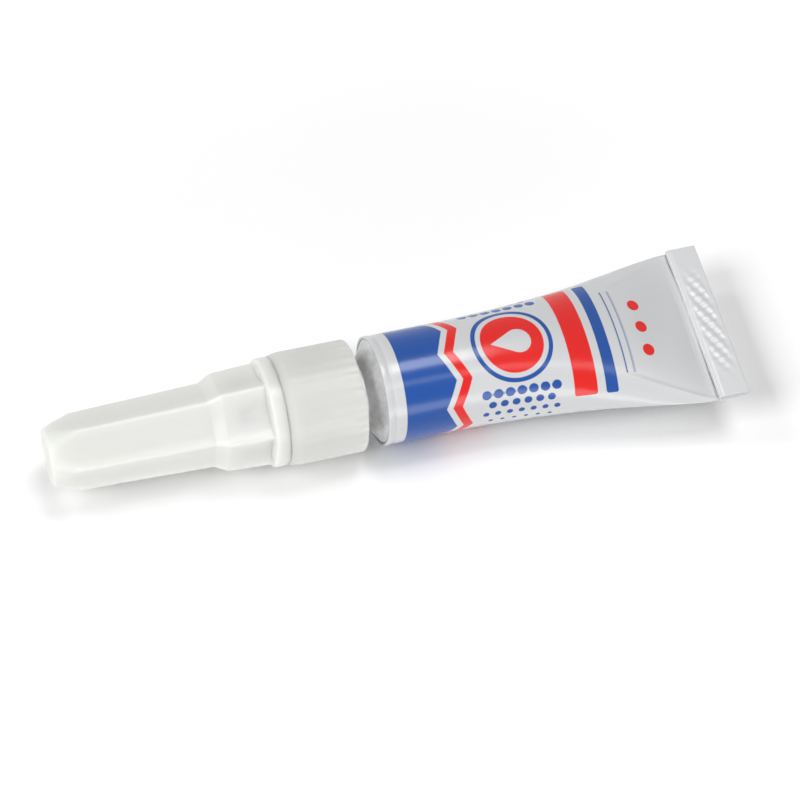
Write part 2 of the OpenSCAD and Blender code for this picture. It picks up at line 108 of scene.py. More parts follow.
def filleted(corners, step, plain=(), closed=False, arc_steps=7):
    """Profile through corners of (station, radius, fillet).

    A parabola rounds each corner, and the straight runs between them are cut in steps. The numbered plain
    runs carry no detail and are cut in long steps. Returns the points and, for each, the number of the run
    that it lies on, with a half added on the round at the run's end."""
    corners = np.array(corners, float)
    count = len(corners)
    ahead = np.roll(corners[:, :2], -1, 0) - corners[:, :2]
    length = np.hypot(*ahead.T)
    ahead = ahead / length[:, None]
    behind = np.roll(ahead, 1, 0)
    half_turn = np.arccos(np.clip((ahead * behind).sum(1), -1, 1)) / 2
    most = FILLET_SHARE * np.minimum(length, np.roll(length, 1))
    back = np.minimum(corners[:, 2] * np.tan(half_turn), most)
    if not closed:
        back[[0, -1]] = 0
    t = np.linspace(0, 1, arc_steps)[:, None]
    points, runs = [], []
    for i in range(count if closed else count - 1):
        j = (i + 1) % count
        start = corners[i, :2] + ahead[i] * back[i]
        end = corners[j, :2] - ahead[i] * back[j]
        longest = PLAIN_STEP if i in plain else step
        cuts = max(1, int(np.ceil(np.hypot(*(end - start)) / longest)))
        run = start + (end - start) * np.linspace(0, 1, cuts + 1)[:, None]
        corner = corners[j, :2]
        leave = corner + ahead[j] * back[j]
        arc = (1 - t) ** 2 * end + 2 * t * (1 - t) * corner + t ** 2 * leave
        rounded = back[j] > 0
        points += [run[:-1], arc[:-1]] if rounded else [run[:-1]]
        runs += [np.full(cuts, i), np.full(arc_steps - 1, i + 0.5)] if rounded else [np.full(cuts, i)]
    if not closed:
        points.append(corners[-1:, :2])
        runs.append([count - 2])
    return np.vstack(points), np.concatenate(runs)


def thread_height(x, theta, start_x, pitch, turns):
    """Height, from 0 to 1, of a right-hand helical ridge at a station and an angle.

    The ridge climbs one pitch a turn from start_x, has a flat crest with sloping flanks, and fades out at
    both ends."""
    turn = np.mod(theta + np.pi / 2, 2 * np.pi) / (2 * np.pi)
    phase = (x - start_x) / pitch - turn
    wind = np.round(phase)
    along = turn + wind
    flank = smoothstep(THREAD_FOOT, THREAD_CREST, np.abs(phase - wind))
    return flank * smoothstep(0, THREAD_FADE, along) * smoothstep(turns, turns - THREAD_FADE, along)


def surface(name, points, closed=False):
    """Mesh through a grid of points whose columns join up round the axis.

    Closed grids also join their last row to the first; others close each end in a fan round its middle."""
    rows, cols, _ = points.shape
    index = np.arange(rows * cols).reshape(rows, cols)
    ring = np.vstack([index, index[:1]]) if closed else index
    near, far = ring[:-1], ring[1:]
    quads = np.stack([near, np.roll(near, -1, 1), np.roll(far, -1, 1), far], -1).reshape(-1, 4)
    verts, fans = points.reshape(-1, 3), np.zeros((0, 3), int)
    if not closed:
        verts = np.vstack([verts, points[0].mean(0), points[-1].mean(0)])
        first, last = np.full(cols, rows * cols), np.full(cols, rows * cols + 1)
        front = np.stack([first, np.roll(index[0], -1), index[0]], -1)
        back = np.stack([last, index[-1], np.roll(index[-1], -1)], -1)
        fans = np.vstack([front, back])
    mesh = bpy.data.meshes.new(name)
    mesh.from_pydata(verts.tolist(), [], quads.tolist() + fans.tolist())
    mesh.shade_smooth()
    piece = bpy.data.objects.new(name, mesh)
    bpy.context.scene.collection.objects.link(piece)
    return piece


def store(piece, name, values):
    """Keeps one number for each grid point as an attribute; the two end points take their row's mean."""
    flat = np.concatenate([values.ravel(), [values[0].mean(), values[-1].mean()]])
    attribute = piece.data.attributes.new(name, "FLOAT", "POINT")
    attribute.data.foreach_set("value", flat[:len(piece.data.vertices)].astype(np.float32))


# The tube

TUBE_COLS, FRONT_STEP, NECK_RUN = 240, 0.14, 2
BEAD_H, BEAD_X, BEAD_W = 0.06, 0.3, 0.3
GROOVE_X, GROOVE_W, GROOVE_DEPTH = 0.95, 0.22, 0.05
LENS_POWER, LENS_START, GIRTH_POWER = 0.35, 18.0, 1.7
PINCH_START, PINCH_IN, PINCH_OUT, PINCH_H, PINCH_W, PINCH_RAMP = 29.5, 0.64, 0.97, 0.17, 0.3, 0.35
CRIMP_H, CRIMP_W = 0.05, 0.15
FOLD_TURN_ROWS, FOLD_RUN_ROWS, FOLD_TOP_ROWS, SIDE_ROUND = 13, 12, 44, 12
STAMP_H, STAMP_HALF_W, STAMP_HALF_L = 0.1, 6, 1.1

# Waves of the tail's faces: height, radians a millimetre along the tube, waves round it and phase
WAVES = ((0.05, 0.9, 2, 0), (0.04, 0.55, -3, 1))

# Waves of the stamped bumps: radians a millimetre along Y and along the tube, and phase
STAMP_WAVES = ((4.3, 1.2, 0), (2.1, -2.6, 0.7))

# Rows along the body: first station, last station and count, closest where the surface has fine forms
BODY_SPANS = ((0.25, 2.2, 22), (2.4, 36, 116), (36.2, 40.4, 22), (40.5, BODY_L - 0.05, 14))


def half_thickness(x):
    """Half thickness of the body: round along the barrel, then falling with a power of the distance."""
    u = np.clip((x - BARREL_L) / (CREASE_X - BARREL_L), 0, 1)
    return TAIL_HALF_T + (TUBE_R - TAIL_HALF_T) * (1 - u ** TAIL_LATENESS)


def section(x, theta, inset=0.0):
    """Ring of the body at a station: an ellipse that keeps the tube's girth, its sides pointed near the tail.

    The half width grows as the half thickness falls, and Z follows sin(theta) to a power that grows with
    the station."""
    half_t = half_thickness(x)
    half_w = TUBE_R + (FLAT_HALF_W - TUBE_R) * (1 - (half_t / TUBE_R) ** GIRTH_POWER)
    s = np.sin(theta)
    power = 1 + LENS_POWER * smoothstep(LENS_START, CREASE_X, x)
    return (half_w - inset) * np.cos(theta), (half_t - inset) * np.sign(s) * np.abs(s) ** power


def front_rows(theta):
    """Neck, cone shoulder and rim: a filleted profile turned round the axis, with the neck's thread on it."""
    profile, run = filleted([
        (-NECK_L + BORE_SHOWN, NECK_BORE_R, 0),
        (-NECK_L, NECK_BORE_R, 0.15),
        (-NECK_L, NECK_R, 0.15),
        (-SHOULDER_L, NECK_R, 0.35),
        (0.05, TUBE_R - RIM_ROUND, 0.1),
        (-RIM_LIP, TUBE_R - RIM_ROUND / 2, 0.12),
        (-RIM_LIP, TUBE_R + BEAD_H, 0.25),
        (0.2, TUBE_R + BEAD_H, 0),
    ], FRONT_STEP)
    x, r = profile[:, :1], profile[:, 1:]
    ridge = thread_height(x, theta, -NECK_L + THREAD_START * NECK_PITCH, NECK_PITCH, NECK_TURNS)
    r = r + NECK_THREAD_H * ridge * (run == NECK_RUN)[:, None]
    return x + 0 * theta, r * np.cos(theta), r * np.sin(theta)


def body_rows(theta):
    """Barrel and flattening body, with a bead and a groove behind the rim and a crimp before the fold.

    A pinched crease runs from each side of the flat faces out to the corners of the tail: a low ridge, shaped
    like a bell curve across, whose line moves outwards evenly with the station. Two sine waves of a few
    hundredths of a millimetre, at a slant to each other, grow on the faces towards the tail."""
    x = np.concatenate([np.linspace(*span) for span in BODY_SPANS])[:, None]
    y, z = section(x, theta)
    bead = BEAD_H * np.exp(-((x - BEAD_X) / BEAD_W) ** 2)
    bead = bead - GROOVE_DEPTH * np.exp(-((x - GROOVE_X) / GROOVE_W) ** 2)
    late = smoothstep(LENS_START, CREASE_X, x)
    waves = sum(h * np.sin(along * x + round_it * theta + phase) for h, along, round_it, phase in WAVES)
    u = np.clip((x - PINCH_START) / (CREASE_X - PINCH_START), 0, 1)
    line = np.abs(y).max(1, keepdims=True) * (PINCH_IN + (PINCH_OUT - PINCH_IN) * u)
    pinch = PINCH_H * smoothstep(0, PINCH_RAMP, u) * np.exp(-((np.abs(y) - line) / PINCH_W) ** 2)
    s = np.sin(theta)
    raised = bead + late * waves + CRIMP_H * np.exp(-((x - CREASE_X) / CRIMP_W) ** 2)
    return x + 0 * theta, y + bead * np.cos(theta), z + raised * s + pinch * np.sign(s)


def fold_rows(theta):
    """Flat end of the tube carried along the fold's path: out, over on itself, back, over again and out.

    The path is straight runs joined by a half circle and, at the near edge, half an ellipse. The section is
    a flat strip whose sides are rounded, laid along Y and across the path. The top run has soft bumps stamped
    up along its middle: the product of two slanting sine waves, faded with the distance's fourth power."""
    bend_r = LAYER_HALF + FOLD_SLIT / 2
    far_x = TAIL_X - LAYER_HALF - bend_r
    near_x = BODY_L + FOLD_EDGE
    turn = np.linspace(-np.pi / 2, np.pi / 2, FOLD_TURN_ROWS)[1:]
    out_1 = np.linspace(BODY_L, far_x, FOLD_RUN_ROWS)
    back_2 = np.linspace(far_x, near_x, FOLD_RUN_ROWS)[1:]
    out_3 = np.linspace(near_x, TAIL_X - LAYER_HALF, FOLD_TOP_ROWS)[1:]
    far_turn, near_turn = far_x + bend_r * np.cos(turn), near_x - FOLD_EDGE * np.cos(turn)
    x = np.concatenate([out_1, far_turn, back_2, near_turn, out_3])
    rise = np.concatenate([0 * out_1, 1 + np.sin(turn), 2 + 0 * back_2, 3 + np.sin(turn), 4 + 0 * out_3])
    angle = np.concatenate([0 * out_1, turn + np.pi / 2, np.pi + 0 * back_2, np.pi / 2 - turn, 0 * out_3])
    x, z, angle = x[:, None], bend_r * rise[:, None], angle[:, None]
    side = np.arcsin(np.sin(theta))
    across = LAYER_HALF * np.sin(np.clip(SIDE_ROUND * side, -np.pi / 2, np.pi / 2))
    y = FLAT_HALF_W * np.cos(theta)
    from_middle = x - (BODY_L + TAIL_X) / 2
    one, other = (np.sin(a * y + b * from_middle + phase) for a, b, phase in STAMP_WAVES)
    fade = np.exp(-(y / STAMP_HALF_W) ** 4 - (from_middle / STAMP_HALF_L) ** 4)
    reach = across + STAMP_H * (one * other) * fade * (rise[:, None] == 4) * (across > 0)
    return x - reach * np.sin(angle), y + 0 * x, z + reach * np.cos(angle)


def arc_from_top(y, z):
    """Distance round each row from its top line, in mm, positive towards +Y, scaled to the tube's girth."""
    length = np.hypot(np.diff(y, axis=1, append=y[:, :1]), np.diff(z, axis=1, append=z[:, :1]))
    total = np.cumsum(length, 1) - length
    share = total / length.sum(1, keepdims=True)
    return GIRTH_HALF * (1 - 2 * np.mod(share + 0.25, 1))


def box_distance(u, v, half_u, half_v, corner):
    """Signed distance to a rectangle with rounded corners."""
    du, dv = np.abs(u) - half_u + corner, np.abs(v) - half_v + corner
    return np.hypot(np.maximum(du, 0), np.maximum(dv, 0)) + np.minimum(np.maximum(du, dv), 0) - corner


def drop_distance(u, v, r, tip):
    """Signed distance to a drop: a circle of radius r and a tangent cone whose point is tip along v."""
    b = r / tip
    a = np.sqrt(1 - b * b)
    u = np.abs(u)
    k = -b * u + a * v
    cone = a * u + b * v - r
    return np.where(k < 0, np.hypot(u, v) - r, np.where(k > a * tip, np.hypot(u, v - tip), cone))


def print_distances(u, v):
    """Signed distances, in millimetres, to the blue and the red print, from arc length u and station v.

    A blue band with a zigzag edge and a red line beside it go round the barrel. The front has a roundel with
    a drop between two fields of dots that grow smaller outwards, then bars, rules and spots. The back has a
    ruled panel."""
    band_start, zig_start, zig_l, zig_h = 2.2, 7.2, 2 * GIRTH_HALF / 6, 1.6
    line_in, line_out = 0.8, 2.0
    zig = np.abs(np.mod(u / zig_l + 0.5, 1) - 0.5) * 2
    edge = zig_start + zig_h * zig
    lean = 1 / np.hypot(1, 2 * zig_h / zig_l)
    band = np.maximum(band_start - v, (v - edge) * lean)
    line = np.maximum(edge + line_in - v, v - edge - line_out) * lean
    middle, disc_r, ring_r, ring_half = 16.8, 4.0, 4.9, 0.28
    drop_v, drop_r, drop_tip = 17.6, 1.6, 3.6
    round_d = np.hypot(u, v - middle)
    disc = np.maximum(round_d - disc_r, -drop_distance(u, drop_v - v, drop_r, drop_tip))
    ring = np.abs(round_d - ring_r) - ring_half
    pitch, field_in, field_out, field_rows = 1.5, 6.2, 11.2, 3.1
    first_dot_r, dot_shrink, no_dot = 0.62, 0.11, 1.0
    column = np.round((np.abs(u) - field_in) / pitch)
    stagger = np.mod(column, 2) / 2
    row = np.round((v - middle) / pitch - stagger)
    dot_r = first_dot_r - dot_shrink * column
    dots = np.hypot(np.abs(u) - field_in - column * pitch, v - middle - (row + stagger) * pitch) - dot_r
    inside = (np.abs(u) > field_in - pitch / 2) & (np.abs(u) < field_out)
    dots = np.where(inside & (np.abs(row + stagger) < field_rows), dots, no_dot)
    red_v, red_half, blue_v, blue_half, bar_half_w, bar_corner = 25.0, 1.5, 28.4, 0.8, 8.2, 0.3
    red_bar = box_distance(u, v - red_v, bar_half_w, red_half, bar_corner)
    blue_bar = box_distance(u, v - blue_v, bar_half_w, blue_half, bar_corner)
    rules_v, rule_apart, rule_half_w, rule_half, rule_corner = 31.2, 0.55, 6.0, 0.14, 0.05
    rules = box_distance(u, np.abs(v - rules_v) - rule_apart, rule_half_w, rule_half, rule_corner)
    spots_v, spot_apart, spot_r = 34.4, 1.6, 0.8
    spots = np.hypot(np.abs(np.abs(u) - spot_apart) - spot_apart, v - spots_v) - spot_r
    behind = GIRTH_HALF - np.abs(u)
    panel_v, panel_half_w, panel_half, panel_corner, panel_line = 21.5, 7.4, 10.2, 0.6, 0.18
    panel = np.abs(box_distance(behind, v - panel_v, panel_half_w, panel_half, panel_corner)) - panel_line
    lines_v, line_half_w, line_apart, line_half = 15.0, 5.8, 1.1, 0.1
    field_v, field_half, field_corner = 22.2, 7.6, 0.1
    ruled = np.abs(np.mod(v - lines_v + line_apart, 2 * line_apart) - line_apart) - line_half
    ruled = np.maximum(ruled, box_distance(behind, v - field_v, line_half_w, field_half, field_corner))
    head_v, head_half, head_corner = 12.9, 0.7, 0.2
    head = box_distance(behind, v - head_v, line_half_w, head_half, head_corner)
    blue = np.minimum.reduce([band, ring, dots, blue_bar, rules, panel, ruled])
    red = np.minimum.reduce([line, disc, red_bar, spots, head])
    return blue, red


def make_tube():
    """Whole metal tube as one skin of rings: bore, neck, shoulder, rim, body, and the tail folded twice."""
    theta = angles(TUBE_COLS)
    parts = [front_rows(theta), body_rows(theta), fold_rows(theta)]
    x, y, z = (np.vstack([part[k] for part in parts]) for k in range(3))
    tube = surface("tube_shell", place(x, y, z))
    front_count, body_count = len(parts[0][0]), len(parts[1][0])
    rows = len(x)
    station = x.copy()
    station[front_count + body_count:] = TAIL_X
    blue, red = print_distances(arc_from_top(y, z), station)
    store(tube, "print_blue", blue)
    store(tube, "print_red", red)
    tube.data.materials.append(printed_enamel())
    tube.data.materials.append(bare_aluminium())
    metal = np.zeros(len(tube.data.polygons), int)
    metal[:np.argmax(np.hypot(y, z)[:, 0] > TUBE_R - RIM_ROUND / 2) * TUBE_COLS] = 1
    metal[(rows - 1) * TUBE_COLS:] = 1
    tube.data.polygons.foreach_set("material_index", metal)
    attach(tube, "tube")
    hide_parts("tube_body")


# The nozzle

NOZZLE_COLS, NOZZLE_STEP, RIB_FADE, RIB_LIFT, RIB_SOFT = 288, 0.17, 2, 0.03, 0.06
RIB_CREST, RIB_FOOT, CHANNEL_FLARE = 0.12, 0.42, 0.5

# Numbers of the nozzle's runs, counted from the spout's end
BOSS_RUN, SKIRT_FIRST, SKIRT_LAST, SLEEVE_RUN = 4, 6, 8, 13
NOZZLE_PLAIN = (1, 2, 5, 9, 10, 11, 14, 15, 17, 19, 20, 21)


def make_nozzle():
    """Closed profile turned round the axis: spout, boss, skirt, sleeve, spike and channel.

    Ribs are soft trapezoids round the skirt, deepest at its back edge and cut off by its own rounded outline.
    Both threads are raised helices."""
    theta = angles(NOZZLE_COLS)
    profile, run = filleted([
        (SPOUT_X, OUTLET_R, 0.05),
        (SPOUT_X, SPOUT_TIP_R, 0.2),
        (SPOUT_X + SPOUT_TIP_L, SPOUT_TIP_R, 1.5),
        (BOSS_X, SPOUT_BASE_R, 0.25),
        (BOSS_X, BOSS_R, 0.3),
        (SKIRT_FRONT, BOSS_R, 0.15),
        (SKIRT_FRONT, COLLAR_R, EDGE_BREAK),
        (SKIRT_FRONT + SKIRT_TAPER, SKIRT_R, 1.5),
        (SKIRT_BACK, SKIRT_R, SKIRT_EDGE),
        (SKIRT_BACK, CORE_R, 0.1),
        (SOCKET_X, CORE_R, 0.25),
        (SOCKET_X, SLEEVE_OUT_R, 0.25),
        (SLEEVE_BACK, SLEEVE_OUT_R, 0.15),
        (SLEEVE_BACK, SLEEVE_IN_R, 0.15),
        (SOCKET_X, SLEEVE_IN_R, 0.2),
        (SOCKET_X, SPIKE_R, 0.15),
        (SPIKE_TIP_X, SPIKE_TIP_R, 0.05),
        (SPIKE_TIP_X, OUTLET_R, 0.05),
        (SOCKET_X, OUTLET_R, 0.1),
        (SOCKET_X - CHANNEL_FLARE, CHANNEL_R, 0.1),
        (BOSS_X, CHANNEL_R, 0.1),
        (SPOUT_X + SPOUT_TIP_L, OUTLET_R, 0.1),
    ], NOZZLE_STEP, plain=NOZZLE_PLAIN, closed=True, arc_steps=6)
    x, r = profile[:, :1], profile[:, 1:]
    run = run[:, None]
    boss = thread_height(x, theta, BOSS_X + THREAD_START * CAP_PITCH, CAP_PITCH, BOSS_TURNS)
    sleeve_start = -NECK_L + (THREAD_START + SLEEVE_SHIFT) * NECK_PITCH
    sleeve = thread_height(x, theta, sleeve_start, NECK_PITCH, SLEEVE_TURNS)
    from_rib = np.abs(np.mod(theta * RIB_COUNT / (2 * np.pi), 1) - 0.5)
    groove = smoothstep(RIB_CREST, RIB_FOOT, from_rib)
    deeper = smoothstep(SKIRT_BACK - RIB_FADE, SKIRT_BACK, x)
    rib_h = RIB_H_FRONT + (RIB_H_BACK - RIB_H_FRONT) * deeper
    skirt = (run >= SKIRT_FIRST) & (run <= SKIRT_LAST)
    r = np.where(skirt, soft_min(r, SKIRT_R + RIB_LIFT - rib_h * groove, RIB_SOFT), r + 0 * theta)
    r = r + CAP_THREAD_H * boss * (run == BOSS_RUN) - NECK_THREAD_H * sleeve * (run == SLEEVE_RUN)
    nozzle = surface("nozzle_moulding", place(x, r * np.cos(theta), r * np.sin(theta)), closed=True)
    nozzle.data.materials.append(natural_polyethylene())
    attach(nozzle, "nozzle")
    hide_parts("nozzle")


# The cap

CAP_COLS, CAP_STEP, FIRST_RING_R, RIDGE_PAST, RIDGE_WINDOW, FLUTE_STOP = 264, 0.2, 0.5, 1, 0.14, 0.1

# Numbers of the cap's runs, counted from the middle of its end; a half is the round after a run
LARGE_RUN, FLUTED_LAST, BORE_RUN = 4, 5.5, 8
CAP_PLAIN = (7, 9, 10, 11, 12, 13)


def flute_bottom(ridge_r, phi):
    """Radius of a hollow flute at an angle phi from its middle: the near side of a circle.

    The circle is set so far out that it meets the ridges beside the flute at ridge_r."""
    half = np.pi / FLUTE_COUNT - FLUTE_LAND
    centre = ridge_r * np.cos(half) + np.sqrt(FLUTE_R ** 2 - (ridge_r * np.sin(half)) ** 2)
    return centre * np.cos(phi) - np.sqrt(FLUTE_R ** 2 - (centre * np.sin(phi)) ** 2)


def ridge_radius(x):
    """Radius of the ridges between the flutes at a station: straight lines, averaged over a short window."""
    slope = (SMALL_R - NOSE_R) / (STEP_X - NOSE_X)
    front_r = NOSE_R - slope * (NOSE_X - CAP_END_X + RIDGE_PAST)
    window = np.linspace(-RIDGE_WINDOW, RIDGE_WINDOW, 5)
    stations = [CAP_END_X - RIDGE_PAST, STEP_X, LARGE_X, COLLAR_X + RIDGE_PAST]
    radii = [front_r, SMALL_R, LARGE_FRONT_R, LARGE_BACK_R]
    return np.interp(x[..., None] + window, stations, radii).mean(-1)


def make_cap():
    """Profile turned round the axis, outside and inside, the outside held down to the flutes' hollows."""
    theta = angles(CAP_COLS)
    profile, run = filleted([
        (CAP_END_X, FIRST_RING_R, 0),
        (CAP_END_X, CAP_END_R, 0.45),
        (NOSE_X, NOSE_R, 1.2),
        (STEP_X, SMALL_R, 0.4),
        (LARGE_X, LARGE_FRONT_R, 0.4),
        (COLLAR_X - COLLAR_SLOPE / 2, LARGE_BACK_R, 0.3),
        (COLLAR_X + COLLAR_SLOPE / 2, COLLAR_R, 0.5),
        (MOUTH_X, COLLAR_R, EDGE_BREAK),
        (MOUTH_X, CAP_BORE_R, 0.2),
        (BOSS_X - SPOUT_CLEAR, CAP_BORE_R, 0.2),
        (BOSS_X - SPOUT_CLEAR, SPOUT_BASE_R + SPOUT_CLEAR, 0.2),
        (SPOUT_X + SPOUT_TIP_L - SPOUT_CLEAR, SPOUT_TIP_R + SPOUT_CLEAR, 1.0),
        (CAP_HOLLOW_X, SPOUT_TIP_R + SPOUT_CLEAR, 0.1),
        (CAP_HOLLOW_X, PIN_HOLE_R, 0.05),
        (CAP_HOLLOW_X - PIN_HOLD, PIN_HOLE_R, 0),
    ], CAP_STEP, plain=CAP_PLAIN)
    x, r = profile[:, :1], profile[:, 1:]
    run = run[:, None]
    sector = 2 * np.pi / FLUTE_COUNT
    phi = np.mod(theta + CAP_CLOCK + sector / 2, sector) - sector / 2
    hollow = soft_min(r, flute_bottom(ridge_radius(x), phi), RIDGE_SOFT)
    below_collar = smoothstep(COLLAR_R - FLUTE_STOP, LARGE_BACK_R, r)
    fluted = below_collar * (run >= LARGE_RUN) + (run < LARGE_RUN)
    r = r + (hollow - r) * fluted * (run <= FLUTED_LAST)
    thread_start = BOSS_X + (THREAD_START + CAP_SHIFT) * CAP_PITCH
    thread = thread_height(x, theta, thread_start, CAP_PITCH, CAP_TURNS)
    r = r - CAP_THREAD_H * thread * (run == BORE_RUN)
    cap = surface("cap_moulding", place(x, r * np.cos(theta), r * np.sin(theta)))
    cap.data.materials.append(white_polypropylene())
    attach(cap, "cap")
    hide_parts("cap")


# The adhesive

GEL_LEVEL, GEL_INSET, GEL_COLS, GEL_ROWS, GEL_FRONT_GAP, GEL_TAIL_GAP = 0.7, 0.35, 96, 90, 0.4, 1.5


def make_gel():
    """The body's own sections, set in from the wall and cut off flat at the adhesive's level."""
    theta = angles(GEL_COLS)
    x = np.linspace(SHOULDER_T + GEL_FRONT_GAP, CREASE_X - GEL_TAIL_GAP, GEL_ROWS)[:, None]
    y, z = section(x, theta, GEL_INSET)
    gel = surface("gel_fill", place(x, y, np.minimum(z, GEL_LEVEL)))
    gel.data.materials.append(cyanoacrylate_gel())
    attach(gel, "tube")
    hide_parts("adhesive_gel")


# Materials

def linear(code):
    """Linear colour with alpha from an sRGB hex code."""
    srgb = np.array([int(code[i:i + 2], 16) for i in (1, 3, 5)]) / 255
    rgb = np.where(srgb <= 0.04045, srgb / 12.92, ((srgb + 0.055) / 1.055) ** 2.4)
    return (*rgb, 1.0)


def add(tree, kind, inputs=None, **settings):
    """Adds one node, sets its properties, and gives each named input a value or a link."""
    node = tree.nodes.new(kind)
    for key, value in settings.items():
        setattr(node, key, value)
    for key, value in (inputs or {}).items():
        if isinstance(value, bpy.types.NodeSocket):
            tree.links.new(value, node.inputs[key])
        else:
            node.inputs[key].default_value = value
    return node


def new_material(name):
    """Empty node material with its output, and the object's own coordinates in metres."""
    material = bpy.data.materials.new(name)
    material.use_nodes = True
    material.node_tree.nodes.clear()
    tree = material.node_tree
    output = add(tree, "ShaderNodeOutputMaterial")
    place_in_object = add(tree, "ShaderNodeTexCoord").outputs["Object"]
    return material, tree, output, place_in_object


def per_metre(size_mm):
    """Texture scale whose features are about this many millimetres across."""
    return 1 / (size_mm * MM)


def printed_enamel():
    """Stoving enamel rolled on aluminium and offset printed: even white, soft gloss, crisp edges of ink."""
    material, tree, output, coords = new_material("offset_printed_white_enamel")
    shade = add(tree, "ShaderNodeTexNoise", {"Vector": coords, "Scale": per_metre(6), "Detail": 3.0})
    white = add(tree, "ShaderNodeMix", {
        "Factor": shade.outputs["Fac"], "A": linear("#CBCCCE"), "B": linear("#D0D1D2"),
    }, data_type="RGBA")
    colour = white.outputs["Result"]
    for name, ink in (("print_blue", "#084A9C"), ("print_red", "#E00E04")):
        distance = add(tree, "ShaderNodeAttribute", attribute_name=name)
        covered = add(tree, "ShaderNodeMapRange", {
            "Value": distance.outputs["Fac"], "From Min": 0.04, "From Max": -0.04,
        })
        mixed = add(tree, "ShaderNodeMix", {
            "Factor": covered.outputs["Result"], "A": colour, "B": linear(ink),
        }, data_type="RGBA")
        colour = mixed.outputs["Result"]
    peel = add(tree, "ShaderNodeTexNoise", {"Vector": coords, "Scale": per_metre(1.2), "Detail": 2.0})
    bump = add(tree, "ShaderNodeBump", {
        "Height": peel.outputs["Fac"], "Strength": 0.06, "Distance": 0.0002,
    })
    shader = add(tree, "ShaderNodeBsdfPrincipled", {
        "Base Color": colour, "Roughness": 0.2, "IOR": 1.5, "Specular IOR Level": 0.42,
        "Normal": bump.outputs["Normal"],
    })
    tree.links.new(shader.outputs["BSDF"], output.inputs["Surface"])
    return material


def bare_aluminium():
    """Impact-extruded aluminium without paint: pale metal, faintly blotched and dulled by annealing."""
    material, tree, output, coords = new_material("impact_extruded_aluminium")
    blotch = add(tree, "ShaderNodeTexNoise", {"Vector": coords, "Scale": per_metre(0.8), "Detail": 6.0})
    tone = add(tree, "ShaderNodeMix", {
        "Factor": blotch.outputs["Fac"], "A": linear("#B2B3B4"), "B": linear("#EAEAEA"),
    }, data_type="RGBA")
    dull = add(tree, "ShaderNodeMapRange", {"Value": blotch.outputs["Fac"], "To Min": 0.45, "To Max": 0.65})
    bump = add(tree, "ShaderNodeBump", {
        "Height": blotch.outputs["Fac"], "Strength": 0.12, "Distance": 0.0001,
    })
    shader = add(tree, "ShaderNodeBsdfPrincipled", {
        "Base Color": tone.outputs["Result"], "Metallic": 0.85, "Roughness": dull.outputs["Result"],
        "Normal": bump.outputs["Normal"],
    })
    tree.links.new(shader.outputs["BSDF"], output.inputs["Surface"])
    return material


def white_polypropylene():
    """Injection-moulded white polypropylene: soft gloss, faintly warm, light spreading a little inside it."""
    material, tree, output, coords = new_material("moulded_white_polypropylene")
    cloud = add(tree, "ShaderNodeTexNoise", {"Vector": coords, "Scale": per_metre(8), "Detail": 2.0})
    tone = add(tree, "ShaderNodeMix", {
        "Factor": cloud.outputs["Fac"], "A": linear("#DCDDD9"), "B": linear("#E0E1DD"),
    }, data_type="RGBA")
    grain = add(tree, "ShaderNodeTexNoise", {"Vector": coords, "Scale": per_metre(0.35), "Detail": 3.0})
    bump = add(tree, "ShaderNodeBump", {
        "Height": grain.outputs["Fac"], "Strength": 0.08, "Distance": 0.0001,
    })
    shader = add(tree, "ShaderNodeBsdfPrincipled", {
        "Base Color": tone.outputs["Result"], "Roughness": 0.32, "IOR": 1.49, "Subsurface Weight": 1.0,
        "Subsurface Radius": (1.0, 1.0, 0.95), "Subsurface Scale": 0.002, "Normal": bump.outputs["Normal"],
    })
    tree.links.new(shader.outputs["BSDF"], output.inputs["Surface"])
    return material


def natural_polyethylene():
    """Injection-moulded polyethylene without pigment: milky grey-white, with a waxy satin skin."""
    material, tree, output, coords = new_material("moulded_natural_polyethylene")
    cloud = add(tree, "ShaderNodeTexNoise", {"Vector": coords, "Scale": per_metre(3), "Detail": 4.0})
    tone = add(tree, "ShaderNodeMix", {
        "Factor": cloud.outputs["Fac"], "A": linear("#CFD0CC"), "B": linear("#D7D8D3"),
    }, data_type="RGBA")
    grain = add(tree, "ShaderNodeTexNoise", {"Vector": coords, "Scale": per_metre(0.5), "Detail": 3.0})
    bump = add(tree, "ShaderNodeBump", {
        "Height": grain.outputs["Fac"], "Strength": 0.12, "Distance": 0.0001,
    })
    shader = add(tree, "ShaderNodeBsdfPrincipled", {
        "Base Color": tone.outputs["Result"], "Roughness": 0.42, "IOR": 1.51, "Subsurface Weight": 0.7,
        "Subsurface Radius": (1.0, 1.0, 0.95), "Subsurface Scale": 0.002, "Normal": bump.outputs["Normal"],
    })
    tree.links.new(shader.outputs["BSDF"], output.inputs["Surface"])
    return material


def drawn_steel():
    """Drawn steel wire: bright metal with fine lines along its length."""
    material, tree, output, coords = new_material("drawn_steel_wire")
    stretch = add(tree, "ShaderNodeMapping", {"Vector": coords, "Scale": (0.05, 1.0, 1.0)})
    lines = add(tree, "ShaderNodeTexNoise", {
        "Vector": stretch.outputs["Vector"], "Scale": per_metre(0.12), "Detail": 3.0,
    })
    dull = add(tree, "ShaderNodeMapRange", {"Value": lines.outputs["Fac"], "To Min": 0.18, "To Max": 0.38})
    shader = add(tree, "ShaderNodeBsdfPrincipled", {
        "Base Color": linear("#B9BABC"), "Metallic": 1.0, "Roughness": dull.outputs["Result"],
    })
    tree.links.new(shader.outputs["BSDF"], output.inputs["Surface"])
    return material


